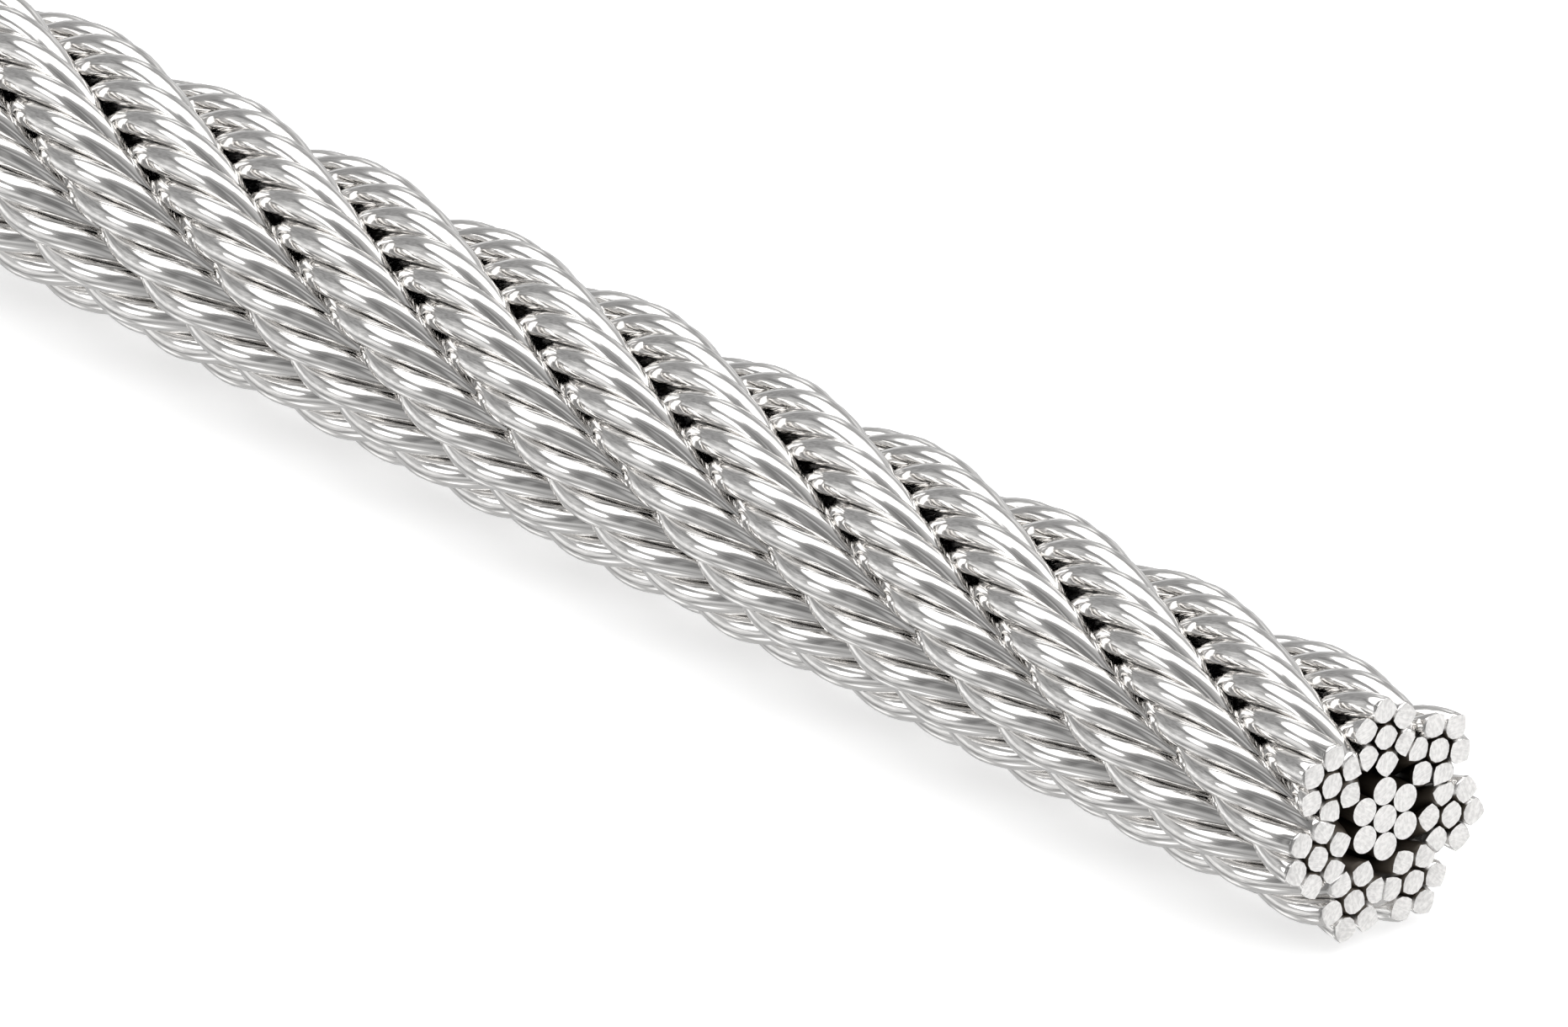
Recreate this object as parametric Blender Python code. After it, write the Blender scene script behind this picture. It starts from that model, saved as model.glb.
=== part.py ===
"""A straight cut length of steel wire rope, in metres, with +Z up.

The rope lies along X on level ground, and its middle is at the origin. Seven strands are laid
right-handed round a core of seven straight wires. Each strand is one solid that stands for its
king wire and the six wires round it. The core's wires are a solid each.
"""

import math

import bmesh
import bpy
from mathutils import Matrix

ROPE_LENGTH = 1.0
ROPE_LAY = 0.1125  # length in which a strand goes once round the core
OUTER_STRANDS = 7
CORE_RING_WIRES = 6

CORE_WIRE_DIAMETER = 0.00225
KING_WIRE_DIAMETER = 0.00225
OUTER_WIRE_DIAMETER = 0.00215
CORE_WIRE_GAP = 0.00003
CORE_TO_STRAND_GAP = 0.0001
STRAND_TO_STRAND_GAP = 0.0003

# Angles at the +X end, from +Y towards +Z.
FIRST_STRAND_ANGLE = math.radians(88.5)
FIRST_CORE_WIRE_ANGLE = math.radians(90)

RINGS_PER_LAY = 16
STRAND_SIDES = 8
WIRE_SIDES = 12
SHARP_ANGLE = math.radians(50)

# The ring widens with the number of its wires, so that they stay clear of each other.
CORE_RING_RADIUS = (CORE_WIRE_DIAMETER + CORE_WIRE_GAP) * max(
    1, 0.5 / math.sin(math.pi / CORE_RING_WIRES)
)
CORE_RADIUS = CORE_RING_RADIUS + CORE_WIRE_DIAMETER / 2
STRAND_RADIUS = KING_WIRE_DIAMETER / 2 + OUTER_WIRE_DIAMETER
STRAND_CIRCLE_RADIUS = CORE_RADIUS + CORE_TO_STRAND_GAP + STRAND_RADIUS
ROPE_RADIUS = STRAND_CIRCLE_RADIUS + STRAND_RADIUS


def clear_scene():
    for obj in list(bpy.data.objects):
        bpy.data.objects.remove(obj)


def steel(name, shade, roughness):
    """Bare drawn steel, a neutral grey metal."""
    material = bpy.data.materials.new(name)
    material.use_nodes = True
    shader = material.node_tree.nodes["Principled BSDF"]
    shader.inputs["Base Color"].default_value = (shade, shade, shade, 1)
    shader.inputs["Metallic"].default_value = 1.0
    shader.inputs["Roughness"].default_value = roughness
    return material


def finished(bm, name, material):
    """The mesh with its round sides smooth and the edges of its cut ends sharp."""
    mesh = bpy.data.meshes.new(name)
    bm.to_mesh(mesh)
    bm.free()
    mesh.materials.append(material)
    mesh.shade_smooth()
    mesh.set_sharp_from_angle(angle=SHARP_ANGLE)
    return mesh


def strand_outline(x):
    """The strand's section in the plane across the rope at x, from its crest round to its crest.

    It is round, but a point past the surface midway to a neighbouring strand is put back to that
    surface, less half the gap.
    """
    centre = FIRST_STRAND_ANGLE + 2 * math.pi * (x - ROPE_LENGTH / 2) / ROPE_LAY
    outline = []
    for side in range(STRAND_SIDES):
        turn = 2 * math.pi * side / STRAND_SIDES
        outward = STRAND_CIRCLE_RADIUS + STRAND_RADIUS * math.cos(turn)
        sideways = STRAND_RADIUS * math.sin(turn)
        distance = math.hypot(outward, sideways)
        limit = math.pi / OUTER_STRANDS - math.asin(STRAND_TO_STRAND_GAP / 2 / distance)
        angle = centre + max(-limit, min(limit, math.atan2(sideways, outward)))
        outline.append((x, distance * math.cos(angle), distance * math.sin(angle)))
    return outline


def join_rings(bm, near, far):
    """Triangles between two rings, facing out where each ring runs from +Y towards +Z.

    Each diagonal starts at the near corner that is further from the rope's axis. The facing
    sides of two neighbouring strands then have the same twisted facets, and keep their gap.
    """
    for side in range(STRAND_SIDES):
        after = (side + 1) % STRAND_SIDES
        if side < STRAND_SIDES / 2:
            bm.faces.new((near[side], near[after], far[after]))
            bm.faces.new((near[side], far[after], far[side]))
        else:
            bm.faces.new((near[side], near[after], far[side]))
            bm.faces.new((near[after], far[after], far[side]))


def strand_mesh(material):
    """One strand, as a loft through outlines at even steps along the rope."""
    steps = math.ceil(ROPE_LENGTH / ROPE_LAY * RINGS_PER_LAY)
    bm = bmesh.new()
    rings = []
    for step in range(steps + 1):
        x = ROPE_LENGTH * (step / steps - 0.5)
        rings.append([bm.verts.new(point) for point in strand_outline(x)])
    for near, far in zip(rings, rings[1:]):
        join_rings(bm, near, far)
    bm.faces.new(reversed(rings[0]))
    bm.faces.new(rings[-1])
    return finished(bm, "strand", material)


def core_wire_mesh(material):
    """One straight wire of the core, along X."""
    bm = bmesh.new()
    bmesh.ops.create_cone(
        bm,
        cap_ends=True,
        segments=WIRE_SIDES,
        radius1=CORE_WIRE_DIAMETER / 2,
        radius2=CORE_WIRE_DIAMETER / 2,
        depth=ROPE_LENGTH,
    )
    bm.transform(Matrix.Rotation(math.radians(90), 4, "Y"))
    return finished(bm, "core_wire", material)


def add(name, mesh, axis, place=(0, 0, 0), turn=0):
    """A piece of the rope, placed from the rope's axis and turned about it."""
    piece = bpy.data.objects.new(name, mesh)
    piece.parent = axis
    piece.location = place
    piece.rotation_euler = (turn, 0, 0)
    bpy.context.collection.objects.link(piece)


def build_core(axis):
    mesh = core_wire_mesh(steel("core_steel", shade=0.7, roughness=0.25))
    add("core_king_wire", mesh, axis)
    for wire in range(CORE_RING_WIRES):
        angle = FIRST_CORE_WIRE_ANGLE - 2 * math.pi * wire / CORE_RING_WIRES
        place = (0, CORE_RING_RADIUS * math.cos(angle), CORE_RING_RADIUS * math.sin(angle))
        add(f"core_wire_{wire + 1}", mesh, axis, place)


def build_strands(axis):
    mesh = strand_mesh(steel("strand_steel", shade=0.78, roughness=0.18))
    for strand in range(OUTER_STRANDS):
        turn = -2 * math.pi * strand / OUTER_STRANDS
        add(f"strand_{strand + 1}", mesh, axis, turn=turn)


def build_rope():
    axis = bpy.data.objects.new("rope_axis", None)
    axis.location = (0, 0, ROPE_RADIUS)
    bpy.context.collection.objects.link(axis)
    build_core(axis)
    build_strands(axis)


clear_scene()
build_rope()
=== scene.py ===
"""The looks of a straight cut length of steel wire rope, in metres.

Each of the rope's 56 wires is a tube of its own: 7 straight ones in the core, and 7 in each of
the 7 strands laid round it. A strand's wires are laid the other way from the strands.
"""

import math

import bpy
import numpy as np
from mathutils import Matrix, Vector


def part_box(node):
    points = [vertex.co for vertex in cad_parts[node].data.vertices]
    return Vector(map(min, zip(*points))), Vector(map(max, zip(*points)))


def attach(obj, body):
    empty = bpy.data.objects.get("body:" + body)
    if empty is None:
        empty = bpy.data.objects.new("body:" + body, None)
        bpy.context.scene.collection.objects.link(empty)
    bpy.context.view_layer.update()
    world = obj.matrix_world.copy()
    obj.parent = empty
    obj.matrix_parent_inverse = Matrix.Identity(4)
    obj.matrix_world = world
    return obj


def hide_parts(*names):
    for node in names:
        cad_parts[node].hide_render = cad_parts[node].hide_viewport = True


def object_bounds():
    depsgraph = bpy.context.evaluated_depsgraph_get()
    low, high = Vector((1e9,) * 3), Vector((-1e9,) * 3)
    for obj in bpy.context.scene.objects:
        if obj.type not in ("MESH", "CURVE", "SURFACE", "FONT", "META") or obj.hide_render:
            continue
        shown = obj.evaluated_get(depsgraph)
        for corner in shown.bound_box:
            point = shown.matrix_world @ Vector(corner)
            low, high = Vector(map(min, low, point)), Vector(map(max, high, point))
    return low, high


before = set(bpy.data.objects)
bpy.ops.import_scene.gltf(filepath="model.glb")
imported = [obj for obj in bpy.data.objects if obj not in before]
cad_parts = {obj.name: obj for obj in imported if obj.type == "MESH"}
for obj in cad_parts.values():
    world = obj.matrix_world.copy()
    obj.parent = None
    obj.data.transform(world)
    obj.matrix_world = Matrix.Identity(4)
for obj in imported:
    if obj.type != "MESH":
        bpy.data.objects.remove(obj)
cad_low, cad_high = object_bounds()

# The rope, from the frame. Its axis runs along X through the middle of the core's king wire.
STRANDS = 7
WIRES_ROUND_KING = 6
core_low, core_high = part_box("core_king_wire")
AXIS = (core_low + core_high) / 2
FRONT = core_high.x
BACK = core_low.x
CORE_WIRE_RADIUS = (core_high.y - core_low.y) / 2

# The lay of the rope, as in the solids, and the opposite lay of the wires in a strand. The angles
# are those at the front end.
ROPE_LAY = 0.1125
WIRE_LAY = 0.02593
STRAND_CIRCLE_RADIUS = 0.0067
FIRST_STRAND_ANGLE = math.radians(89)
FIRST_WIRE_ANGLE = math.radians(3)

# The wires of a strand in the plane across the rope: its king wire, then those round it.
WIRE_RADII = (0.001125,) + (0.0011,) * WIRES_ROUND_KING
WIRE_CIRCLE_RADIUS = 0.002175
WIRE_GAP = 0.000005

# The shears leave four sharp corners on a wire's very end, with two blunt ones between neighbours.
SHEARED_LENGTH = 0.0003
CORNER_REACH = 1.04
BLUNT_CORNER_REACH = 0.88
SHEARED_GAP = 0.00022

# The steel is painted dark, as shade with some tarnish, where a wire faces the inside of its strand,
# or a strand faces another or the core. These are the distances from the strand's middle and from
# the rope's axis at which that painted shade starts, and at which it is full.
STRAND_SHADE_AND_TARNISH_START = 0.0021
STRAND_SHADE_AND_TARNISH_FULL = 0.0016
ROPE_SHADE_AND_TARNISH_START = 0.0063
ROPE_SHADE_AND_TARNISH_FULL = 0.0049

# The grain of a cut end runs its own way on each wire. This is how many radians it turns for each
# metre that the wire's first corner lies along Y.
GRAIN_SPIN = 1000

# Each next wire in a piece takes its lines and patches from this many metres further on.
PATTERN_SHIFT = 0.1

# Bare steel is a little warm, which shows where it reflects itself.
STEEL_TINT = (1.0, 0.985, 0.968)
# A dark brown painted into the strands' insides as shade, with some tarnish.
SHADE_AND_TARNISH_TINT = (0.08, 0.065, 0.05)

# Steps of the meshes, and the angle from which an edge is sharp.
RINGS_PER_LAY = 23
KING_RINGS_PER_LAY = 8
WIRE_SIDES = 12
CORE_WIRE_SIDES = 24
SHARP_ANGLE = math.radians(70)

# The photograph's frame, its scale, and where the middle of the cut end is in it.
PHOTO_WIDTH = 1863
PHOTO_HEIGHT = 1220
PIXELS_PER_METRE = 15836
END_PIXEL_X = 1645.67
END_PIXEL_Y = 972.67

# Where the camera stands: its azimuth from -Y towards +X, its elevation and its distance.
AZIMUTH = math.radians(50)
ELEVATION = math.radians(25)
CAMERA_DISTANCE = 1.6
CAMERA_CLIP_END = 50

# The studio. A brightness of 1 is white. The scale makes the noise long along the rope.
FLOOR_SIZE = 12
FLOOR_SHADE = 0.9
FLOOR_ROUGHNESS = 0.9
FLOOR_GLOW = 0.55
WALL_BRIGHTNESS = 0.54
THINGS_SCALE = (1.5, 15, 15)

# The numbers of a Mix node's sockets for each kind of data: its two inputs and its output.
MIX_SOCKETS = {"FLOAT": (2, 3, 0), "RGBA": (6, 7, 2)}


def strand_angle(x):
    """Where the first strand's middle is about the rope's axis, from +Y towards +Z."""
    return FIRST_STRAND_ANGLE + 2 * math.pi * (x - FRONT) / ROPE_LAY


def wire_turn(x):
    """How far the wires of a strand have turned about its middle, from the way out of the rope."""
    return FIRST_WIRE_ANGLE - 2 * math.pi * (x - FRONT) / WIRE_LAY


def wire_centre(x, strand, wire):
    """The middle of a wire in the plane across the rope at x. Wire 0 is the strand's king wire."""
    middle = strand_angle(x) + 2 * math.pi * strand / STRANDS
    turn = middle + wire_turn(x) + 2 * math.pi * wire / WIRES_ROUND_KING
    reach = WIRE_CIRCLE_RADIUS if wire else 0
    y = STRAND_CIRCLE_RADIUS * np.cos(middle) + reach * np.cos(turn)
    z = STRAND_CIRCLE_RADIUS * np.sin(middle) + reach * np.sin(turn)
    return np.stack([y, z], -1)


def ring_places(per_lay):
    """Where the rings of a laid wire are along the rope: even steps, and one more before each end."""
    steps = math.ceil((FRONT - BACK) / WIRE_LAY * per_lay)
    even = np.linspace(BACK + SHEARED_LENGTH, FRONT - SHEARED_LENGTH, steps + 1)
    return np.concatenate([[BACK], even, [FRONT]])


def pressed(points, x, wire, gap):
    """Points of a wire of the first strand, pressed flat where it meets the wires round it."""
    centre = wire_centre(x, 0, wire)
    for strand in (-1, 0, 1):
        for other, radius in enumerate(WIRE_RADII):
            if strand == 0 and other == wire:
                continue
            way = wire_centre(x, strand, other) - centre
            distance = np.linalg.norm(way, axis=-1, keepdims=True)
            way = (way / distance)[:, None]
            limit = (distance + (WIRE_RADII[wire] ** 2 - radius**2) / distance - gap[:, None]) / 2
            over = ((points - centre[:, None]) * way).sum(-1) - limit
            points = points - np.maximum(0, over)[..., None] * way
    return points


def shade_and_tarnish(points, middle):
    """How much painted shade and tarnish darken the steel at these points of a strand with this
    middle, from 0 to 1.
    """
    in_strand = np.linalg.norm(points - middle, axis=-1)
    in_rope = np.linalg.norm(points, axis=-1)
    by_strand = (STRAND_SHADE_AND_TARNISH_START - in_strand) / (STRAND_SHADE_AND_TARNISH_START - STRAND_SHADE_AND_TARNISH_FULL)
    by_rope = (ROPE_SHADE_AND_TARNISH_START - in_rope) / (ROPE_SHADE_AND_TARNISH_START - ROPE_SHADE_AND_TARNISH_FULL)
    return np.clip(np.maximum(by_strand, by_rope), 0, 1)


def laid_rings(wire):
    """Rings of a wire of the first strand: its section in planes across the rope, back to front.

    With them come the wire's length up to each ring, its radius, and its points' painted shade and
    tarnish.
    """
    x = ring_places(RINGS_PER_LAY if wire else KING_RINGS_PER_LAY)
    side = np.arange(WIRE_SIDES)
    turn = FIRST_STRAND_ANGLE + 2 * math.pi * side / WIRE_SIDES
    reach = np.ones((len(x), WIRE_SIDES))
    reach[[0, -1]] = np.where(side % 3, BLUNT_CORNER_REACH, CORNER_REACH)
    gap = np.full(len(x), WIRE_GAP)
    gap[[0, -1]] = SHEARED_GAP
    centre = wire_centre(x, 0, wire)
    outline = WIRE_RADII[wire] * reach[..., None] * np.stack([np.cos(turn), np.sin(turn)], -1)
    points = pressed(centre[:, None] + outline, x, wire, gap)
    rings = np.concatenate([np.broadcast_to(x[:, None, None], (*points.shape[:2], 1)), points], -1)
    path = np.concatenate([x[:, None], centre], -1)
    lengths = np.linalg.norm(np.diff(path, axis=0), axis=-1)
    shade_tarnish = shade_and_tarnish(points, wire_centre(x, 0, 0)[:, None])
    return rings, np.concatenate([[0], np.cumsum(lengths)]), WIRE_RADII[wire], shade_tarnish


def straight_rings(place):
    """The two rings of one straight core wire, and what goes with them."""
    turn = 2 * math.pi * np.arange(CORE_WIRE_SIDES) / CORE_WIRE_SIDES
    rings = np.zeros((2, CORE_WIRE_SIDES, 3))
    rings[0, :, 0] = BACK
    rings[1, :, 0] = FRONT
    rings[..., 1] = place[0] + CORE_WIRE_RADIUS * np.cos(turn)
    rings[..., 2] = place[1] + CORE_WIRE_RADIUS * np.sin(turn)
    # The core lies inside the strands, so its sides get full painted shade with some tarnish.
    return rings, np.array([0, FRONT - BACK]), CORE_WIRE_RADIUS, np.ones(rings.shape[:2])


def tube_faces(rings, sides, first):
    """Faces of a closed tube of quads, and its two flat ends."""
    ring = np.arange(rings - 1)[:, None] * sides
    side = np.arange(sides)[None, :]
    after = (side + 1) % sides
    quads = np.stack([ring + side, ring + after, ring + after + sides, ring + side + sides], -1)
    quads = quads.reshape(-1, 4) + first
    back_end = (first + np.arange(sides)[::-1]).tolist()
    front_end = (first + (rings - 1) * sides + np.arange(sides)).tolist()
    return quads.tolist(), [back_end, front_end]


def tube_uvs(rings, lengths, radius, shift):
    """UVs in metres for each corner of a wire's sides, then of its two ends.

    On the sides they are how far along and how far round the wire the corner lies.
    """
    count, sides = rings.shape[:2]
    along = np.stack([lengths[:-1], lengths[:-1], lengths[1:], lengths[1:]], -1)
    around = np.arange(sides)[:, None] + np.array([0, 1, 1, 0])
    corners = np.zeros((count - 1, sides, 4, 2))
    corners[..., 0] = along[:, None]
    corners[..., 1] = around * 2 * math.pi * radius / sides + shift
    spin = GRAIN_SPIN * rings[-1, 0, 1]
    cos, sin = math.cos(spin), math.sin(spin)
    ends = np.concatenate([rings[0, ::-1, 1:], rings[-1, :, 1:]]) @ [[cos, sin], [-sin, cos]]
    return np.concatenate([corners.reshape(-1, 2), ends])


def wires_mesh(name, wires, materials):
    """One mesh of several wires, each given as rings, lengths along it, radius, and painted shade with
    tarnish.

    The first material goes on the wires' sides and the second on their ends.
    """
    points, faces, ends, uvs, end_uvs, shade_tarnish = [], [], [], [], [], []
    first = 0
    for number, (rings, lengths, radius, shade_tarnish_mask) in enumerate(wires):
        count, sides = rings.shape[:2]
        quads, caps = tube_faces(count, sides, first)
        corners = tube_uvs(rings, lengths, radius, number * PATTERN_SHIFT)
        points.append(rings.reshape(-1, 3))
        shade_tarnish.append(shade_tarnish_mask.ravel())
        faces += quads
        ends += caps
        uvs.append(corners[: 4 * len(quads)])
        end_uvs.append(corners[4 * len(quads) :])
        first += count * sides
    mesh = bpy.data.meshes.new(name)
    mesh.from_pydata(np.concatenate(points) + np.array(AXIS) * [0, 1, 1], [], faces + ends)
    layer = mesh.uv_layers.new(name="wire")
    layer.data.foreach_set("uv", np.concatenate(uvs + end_uvs).astype(np.float32).ravel())
    # The painted shade, with some tarnish, that the drawn steel reads.
    mesh.attributes.new("shade_and_tarnish", "FLOAT", "POINT").data.foreach_set("value", np.concatenate(shade_tarnish))
    cut = np.zeros(len(mesh.polygons), np.int32)
    cut[len(faces) :] = 1
    for material in materials:
        mesh.materials.append(material)
    mesh.polygons.foreach_set("material_index", cut)
    mesh.shade_smooth()
    mesh.set_sharp_from_angle(angle=SHARP_ANGLE)
    mesh.validate()
    return mesh


def strand_wires():
    """The seven wires of the first strand."""
    return [laid_rings(wire) for wire in range(len(WIRE_RADII))]


def core_wires():
    """The seven straight wires of the core, where the frame has them."""
    wires = [straight_rings((0, 0))]
    for wire in range(WIRES_ROUND_KING):
        low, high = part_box(f"core_wire_{wire + 1}")
        place = (low + high) / 2 - AXIS
        wires.append(straight_rings((place.y, place.z)))
    return wires


def turned(wires, angle):
    """The same wires, turned about the rope's axis."""
    cos, sin = math.cos(angle), math.sin(angle)
    turn = np.array([[1, 0, 0], [0, cos, sin], [0, -sin, cos]])
    return [(rings @ turn, *rest) for rings, *rest in wires]


def add_node(tree, kind, inputs, **settings):
    """A new node with its settings. Each input is a value, or another node's output to link."""
    node = tree.nodes.new("ShaderNode" + kind)
    for name, value in settings.items():
        setattr(node, name, value)
    for name, value in inputs.items():
        if isinstance(value, bpy.types.NodeSocket):
            tree.links.new(value, node.inputs[name])
        else:
            node.inputs[name].default_value = value
    return node


def math_node(tree, operation, *values):
    """The result of a Math node on these values."""
    return add_node(tree, "Math", dict(enumerate(values)), operation=operation).outputs[0]


def ramp(tree, value, over, to):
    """A smooth step between the two results of `to`, as the value crosses the range `over`."""
    limits = {"From Min": over[0], "From Max": over[1], "To Min": to[0], "To Max": to[1]}
    inputs = {"Value": value, **limits}
    return add_node(tree, "MapRange", inputs, interpolation_type="SMOOTHSTEP").outputs[0]


def mix(tree, factor, start, end, kind="FLOAT"):
    """From start to end, as the factor goes from 0 to 1."""
    first, second, result = MIX_SOCKETS[kind]
    inputs = {0: factor, first: start, second: end}
    return add_node(tree, "Mix", inputs, data_type=kind).outputs[result]


def streaks(tree, coordinates, along, across, detail):
    """Noise in streaks, from their length and width in metres."""
    stretched = add_node(tree, "Mapping", {"Vector": coordinates, "Scale": (1 / along, 1 / across, 1)})
    noise = add_node(
        tree, "TexNoise", {"Vector": stretched.outputs[0], "Scale": 1.0, "Detail": detail},
        noise_dimensions="2D",
    )
    return noise.outputs[0]


def grey(tree, value, tint):
    """A grey of this value, times a tint."""
    colour = add_node(tree, "VectorMath", {0: tint, "Scale": value}, operation="SCALE")
    return colour.outputs[0]


def new_steel(name):
    """A material, its tree, its shader and the metres along and round each wire."""
    material = bpy.data.materials.new(name)
    material.use_nodes = True
    tree = material.node_tree
    shader = tree.nodes["Principled BSDF"]
    coordinates = add_node(tree, "UVMap", {}, uv_map="wire").outputs[0]
    return material, tree, shader, coordinates


def drawn_steel():
    """Bright drawn wire: fine lines along it from the die, soft duller patches, and painted shade with
    some tarnish inside.
    """
    material, tree, shader, coordinates = new_steel("drawn_steel")
    lines = streaks(tree, coordinates, along=0.03, across=0.00012, detail=1)
    patches = streaks(tree, coordinates, along=0.008, across=0.0016, detail=2)
    brightness = ramp(tree, lines, over=(0.3, 0.7), to=(0.84, 0.89))
    # The painted shade, with some tarnish, first takes half of the mirror away, and then darkens the
    # steel to a dark brown.
    shade_tarnish_mask = add_node(tree, "Attribute", {}, attribute_name="shade_and_tarnish").outputs["Fac"]
    bright = grey(tree, brightness, STEEL_TINT)
    shade_tarnish = grey(tree, brightness, SHADE_AND_TARNISH_TINT)
    darkness = ramp(tree, shade_tarnish_mask, over=(0.5, 1), to=(0, 1))
    tree.links.new(mix(tree, darkness, bright, shade_tarnish, "RGBA"), shader.inputs["Base Color"])
    metallic = ramp(tree, shade_tarnish_mask, over=(0, 0.5), to=(1, 0.5))
    tree.links.new(metallic, shader.inputs["Metallic"])
    by_patches = ramp(tree, patches, over=(0.35, 0.7), to=(0.05, 0.1))
    by_lines = ramp(tree, lines, over=(0.3, 0.7), to=(0, 0.03))
    by_shade_tarnish = ramp(tree, shade_tarnish_mask, over=(0, 1), to=(0, 0.3))
    roughness = math_node(tree, "ADD", math_node(tree, "ADD", by_patches, by_lines), by_shade_tarnish)
    tree.links.new(roughness, shader.inputs["Roughness"])
    bump = add_node(tree, "Bump", {"Height": lines, "Strength": 0.25, "Distance": 0.00001})
    tree.links.new(bump.outputs[0], shader.inputs["Normal"])
    return material


def cut_steel():
    """The wires' cut ends: pale, matt, with a cloudy grain and faint marks of the cutting wheel."""
    material, tree, shader, coordinates = new_steel("cut_steel")
    grain = streaks(tree, coordinates, along=0.0003, across=0.0004, detail=4)
    marks = streaks(tree, coordinates, along=0.0001, across=0.002, detail=2)
    cloud = math_node(tree, "ADD", math_node(tree, "MULTIPLY", marks, 0.5), grain)
    brightness = ramp(tree, cloud, over=(0.5, 1.0), to=(0.76, 0.97))
    tree.links.new(grey(tree, brightness, STEEL_TINT), shader.inputs["Base Color"])
    shader.inputs["Metallic"].default_value = 0.2
    roughness = ramp(tree, cloud, over=(0.5, 1.0), to=(0.65, 0.45))
    tree.links.new(roughness, shader.inputs["Roughness"])
    bump = add_node(tree, "Bump", {"Height": cloud, "Strength": 0.3, "Distance": 0.00002})
    tree.links.new(bump.outputs[0], shader.inputs["Normal"])
    return material


def add_piece(mesh, nodes):
    """A piece with this mesh and its name, which takes the place of these nodes of the frame."""
    piece = bpy.data.objects.new(mesh.name, mesh)
    bpy.context.scene.collection.objects.link(piece)
    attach(piece, "root")
    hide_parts(*nodes)


def build_rope():
    """A piece for each strand, all laid as the first one, and a piece for the core."""
    materials = (drawn_steel(), cut_steel())
    first_strand = strand_wires()
    for strand in range(STRANDS):
        wires = turned(first_strand, -2 * math.pi * strand / STRANDS)
        mesh = wires_mesh(f"strand_{strand + 1}_wires", wires, materials)
        add_piece(mesh, [f"strand_{strand + 1}"])
    mesh = wires_mesh("core_wires", core_wires(), materials)
    nodes = ["core_king_wire"] + [f"core_wire_{wire + 1}" for wire in range(WIRES_ROUND_KING)]
    add_piece(mesh, nodes)


def build_floor():
    """A pale floor. The steel reflects the studio's lower half in its place."""
    bpy.ops.mesh.primitive_plane_add(size=FLOOR_SIZE, location=(0, 0, cad_low.z))
    floor = bpy.context.object
    floor.name = "floor"
    floor.visible_glossy = False
    material = bpy.data.materials.new("pale_floor")
    material.use_nodes = True
    shader = material.node_tree.nodes["Principled BSDF"]
    shader.inputs["Base Color"].default_value = (FLOOR_SHADE, FLOOR_SHADE, FLOOR_SHADE, 1)
    shader.inputs["Roughness"].default_value = FLOOR_ROUGHNESS
    shader.inputs["Emission Color"].default_value = (1, 1, 1, 1)
    shader.inputs["Emission Strength"].default_value = FLOOR_GLOW
    floor.data.materials.append(material)


def build_camera():
    """A camera with no perspective, placed so that the cut end's middle has its photographed pixel."""
    back = Vector((
        math.sin(AZIMUTH) * math.cos(ELEVATION),
        -math.cos(AZIMUTH) * math.cos(ELEVATION),
        math.sin(ELEVATION),
    ))
    right = Vector((math.cos(AZIMUTH), math.sin(AZIMUTH), 0))
    up = back.cross(right)
    data = bpy.data.cameras.new("camera")
    data.type = "ORTHO"
    data.ortho_scale = PHOTO_WIDTH / PIXELS_PER_METRE
    data.clip_end = CAMERA_CLIP_END
    camera = bpy.data.objects.new("camera", data)
    bpy.context.scene.collection.objects.link(camera)
    end = Vector((FRONT, AXIS.y, AXIS.z))
    across = (END_PIXEL_X - PHOTO_WIDTH / 2) / PIXELS_PER_METRE
    down = (END_PIXEL_Y - PHOTO_HEIGHT / 2) / PIXELS_PER_METRE
    place = end - across * right + down * up + CAMERA_DISTANCE * back
    camera.matrix_world = Matrix.Translation(place) @ Matrix((right, up, back)).transposed().to_4x4()
    bpy.context.scene.camera = camera


def panel_mask(tree, ray, azimuth, elevation, width, height, edge):
    """Whether a ray meets an oval panel with soft edges: 1 inside it and 0 outside.

    The panel's azimuth from +X towards +Y, its elevation, its width and its height are in degrees.
    It fades out from 1 - edge to 1 + edge of its half width and half height.
    """
    around, up = math.radians(azimuth), math.radians(elevation)
    place = {
        "Vector": ray,
        "Location": (math.cos(around) * math.cos(up), math.sin(around) * math.cos(up), math.sin(up)),
        "Rotation": (0, -up, around),
        "Scale": (1, math.sin(math.radians(width / 2)), math.sin(math.radians(height / 2))),
    }
    local = add_node(tree, "Mapping", place, vector_type="TEXTURE").outputs[0]
    distance = add_node(tree, "VectorMath", {0: local}, operation="LENGTH").outputs["Value"]
    return ramp(tree, distance, over=(1 - edge, 1 + edge), to=(1, 0))


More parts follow.
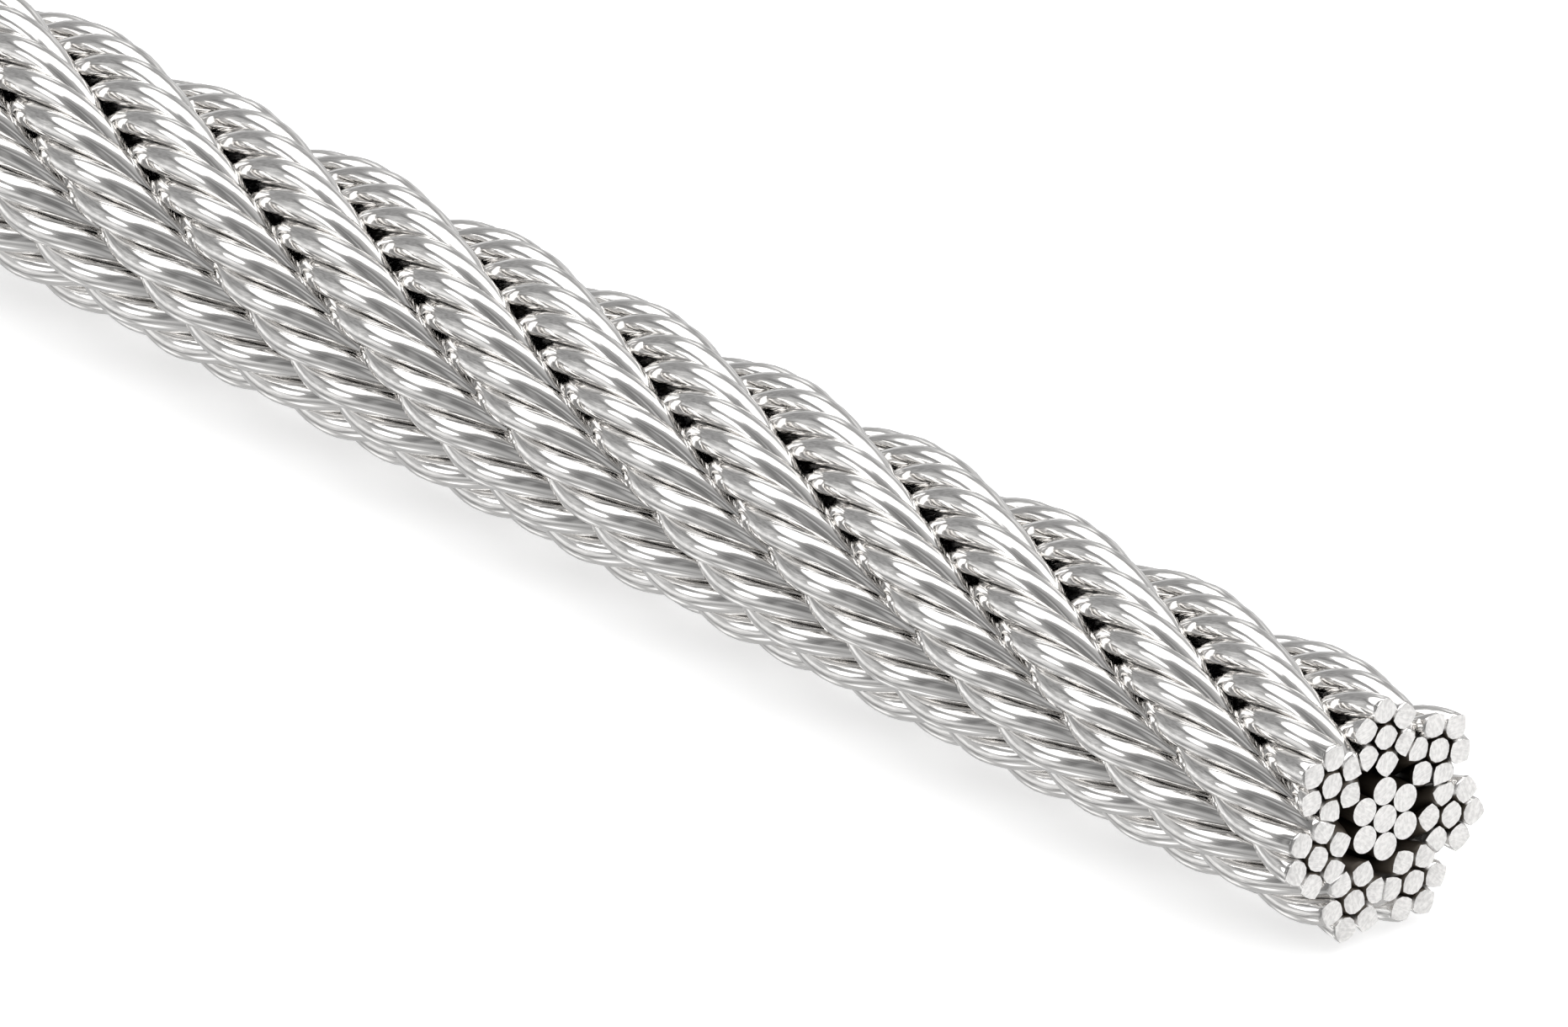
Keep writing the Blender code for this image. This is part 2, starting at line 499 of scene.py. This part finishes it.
def build_light():
    """A pale studio round the rope, with soft lights and dark panels for the steel to reflect.

    The camera itself sees plain white in its place. A later panel covers the ones before it.
    """
    world = bpy.data.worlds.new("studio")
    bpy.context.scene.world = world
    world.use_nodes = True
    tree = world.node_tree
    ray = add_node(tree, "TexCoord", {}).outputs["Generated"]
    light = WALL_BRIGHTNESS

    def panel(brightness, azimuth, elevation, width, height, edge=0.6):
        nonlocal light
        mask = panel_mask(tree, ray, azimuth, elevation, width, height, edge)
        light = mix(tree, mask, light, brightness)

    # The dark side of the studio, behind the camera, with paler things in it.
    panel(0.22, azimuth=291, elevation=18, width=86, height=150, edge=0.25)
    panel(0.62, azimuth=284, elevation=53, width=30, height=11)
    panel(0.36, azimuth=266, elevation=20, width=8, height=34)
    panel(0.56, azimuth=291, elevation=22, width=12, height=26)
    panel(0.42, azimuth=274, elevation=-14, width=30, height=36)
    # The wall facing the camera, with pale posts, a dark bar, a window and a low lamp.
    panel(0.6, azimuth=128, elevation=2, width=66, height=54)
    panel(0.76, azimuth=114, elevation=20, width=8, height=26)
    panel(0.76, azimuth=127, elevation=-5, width=9, height=30)
    panel(0.44, azimuth=129, elevation=25, width=7, height=36)
    panel(1.2, azimuth=139, elevation=26, width=10, height=18)
    panel(0.88, azimuth=156, elevation=3, width=12, height=14)
    # The same things past each end of the rope: dark boards, pale strips, low lamps, a round lamp.
    for turn in (0, 180):
        panel(0.34, azimuth=181 + turn, elevation=17, width=60, height=32)
        panel(0.28, azimuth=208 + turn, elevation=31, width=50, height=8)
        panel(0.64, azimuth=211 + turn, elevation=13, width=20, height=18)
        panel(0.95, azimuth=224 + turn, elevation=-13, width=94, height=17)
        panel(1.1, azimuth=192 + turn, elevation=-14, width=30, height=12)
        panel(0.3, azimuth=224 + turn, elevation=-33, width=56, height=9)
        panel(0.68, azimuth=228 + turn, elevation=-29, width=14, height=7)
        panel(1.15, azimuth=190 + turn, elevation=-47, width=20, height=13)
        panel(1.3, azimuth=238 + turn, elevation=-52, width=20, height=14)
        panel(0.7, azimuth=260 + turn, elevation=-39, width=14, height=8)
        panel(1.8, azimuth=236 + turn, elevation=14, width=23, height=23, edge=0.08)
    # Big soft ceiling lights, with a dark beam across one of them.
    panel(1.8, azimuth=15, elevation=48, width=80, height=32, edge=0.1)
    panel(1.8, azimuth=153, elevation=66, width=82, height=42, edge=0.08)
    panel(0.4, azimuth=128, elevation=44, width=50, height=19)
    panel(1.8, azimuth=194, elevation=52, width=56, height=31, edge=0.08)
    # Noise for the small things in the room, which make lines along the wires.
    stretched = add_node(tree, "Mapping", {"Vector": ray, "Scale": THINGS_SCALE}).outputs[0]
    things = add_node(tree, "TexNoise", {"Vector": stretched, "Scale": 1.0, "Detail": 1}).outputs[0]
    shade = ramp(tree, things, over=(0.36, 0.64), to=(0.82, 1.15))
    light = math_node(tree, "MULTIPLY", light, shade)
    seen = add_node(tree, "LightPath", {}).outputs["Is Camera Ray"]
    tree.links.new(mix(tree, seen, light, 1.0), tree.nodes["Background"].inputs["Color"])


build_camera()
build_light()
build_floor()
build_rope()
bpy.context.scene.view_settings.view_transform = "Standard"
